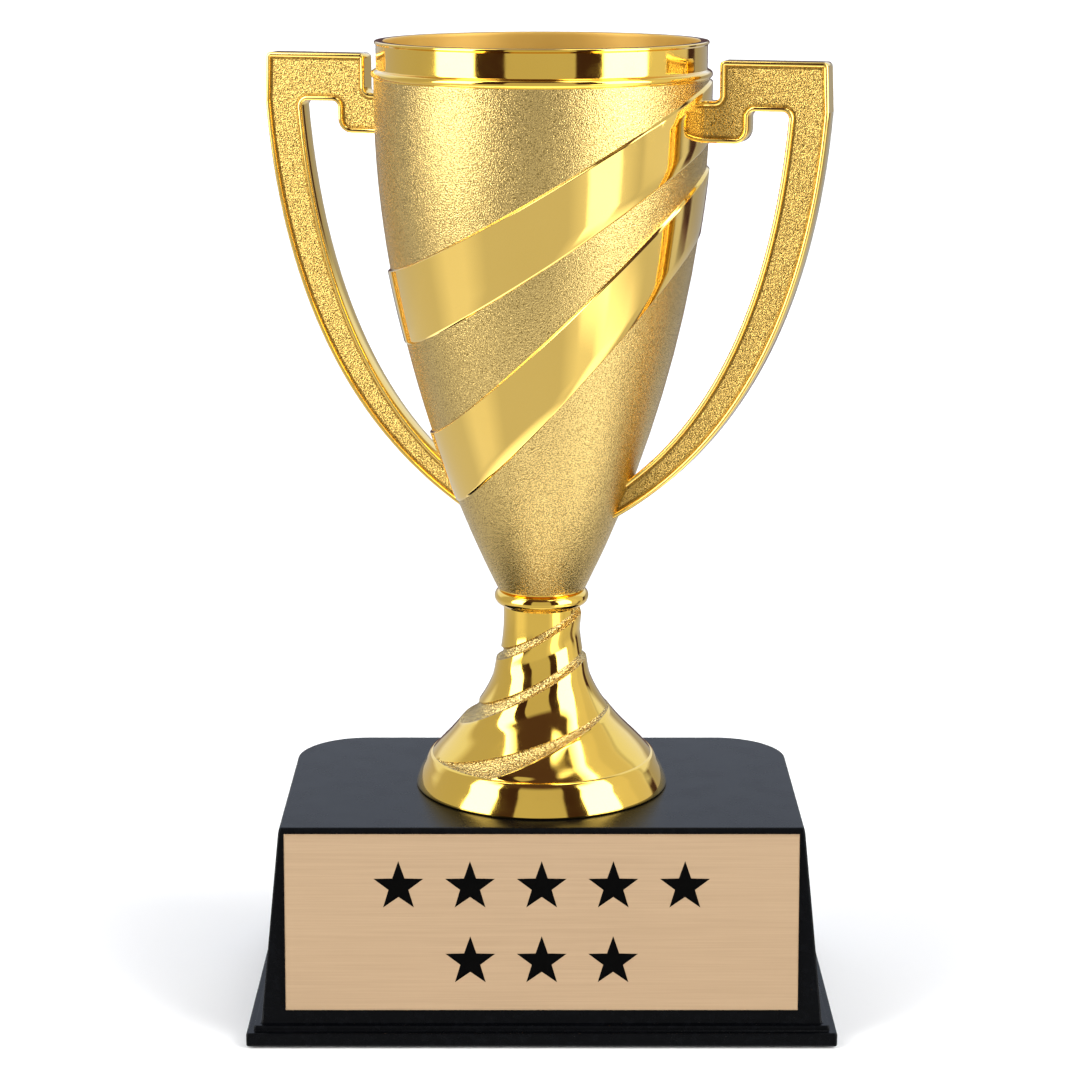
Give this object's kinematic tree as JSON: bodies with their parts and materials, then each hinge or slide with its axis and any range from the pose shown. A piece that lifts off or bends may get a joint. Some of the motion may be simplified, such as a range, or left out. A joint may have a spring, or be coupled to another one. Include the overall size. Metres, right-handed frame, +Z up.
{
  "type": "cup trophy",
  "caption": "Gold award cup with angular handles and spiral bands on a flared stem, clamped to a black weighted base block with a blank name plate.",
  "frame": {"origin": "centre of the underside, on the surface the trophy stands on", "axes": "+Z up along the cup's axis, the name plate faces -Y, +X to the right of a viewer facing the plate"},
  "size_m": [0.0878, 0.056, 0.1465],
  "materials": {
    "gold_bowl": "satin",
    "gold_handle": "satin",
    "gold_polished": "polished",
    "base_black": "satin",
    "plate_brass": "satin",
    "engraving": "matte",
    "adhesive": "matte",
    "weight_steel": "matte",
    "zinc_steel": "satin",
    "board": "matte",
    "felt": "matte"
  },
  "bodies": {
    "base": {"base_shell": "base_black", "base_weight": "weight_steel", "weight_screws": "zinc_steel", "bottom_board": "board", "felt_pad": "felt", "name_plate": "plate_brass", "plate_adhesive": "adhesive", "plate_emblem": "engraving"},
    "cup": {"stem_foot": "gold_polished", "neck_ring": "gold_polished", "bowl": "gold_bowl", "handle_left": "gold_handle", "handle_right": "gold_handle", "center_rod": "zinc_steel", "top_nut": "zinc_steel", "top_washer": "zinc_steel", "bottom_nut": "zinc_steel", "bottom_washer": "zinc_steel"}
  },
  "joints": [
    {"name": "cup_turn", "type": "hinge", "parent": "base", "child": "cup", "pos_m": [0, 0, 0.0328], "axis": [0, 0, 1], "continuous": true}
  ]
}
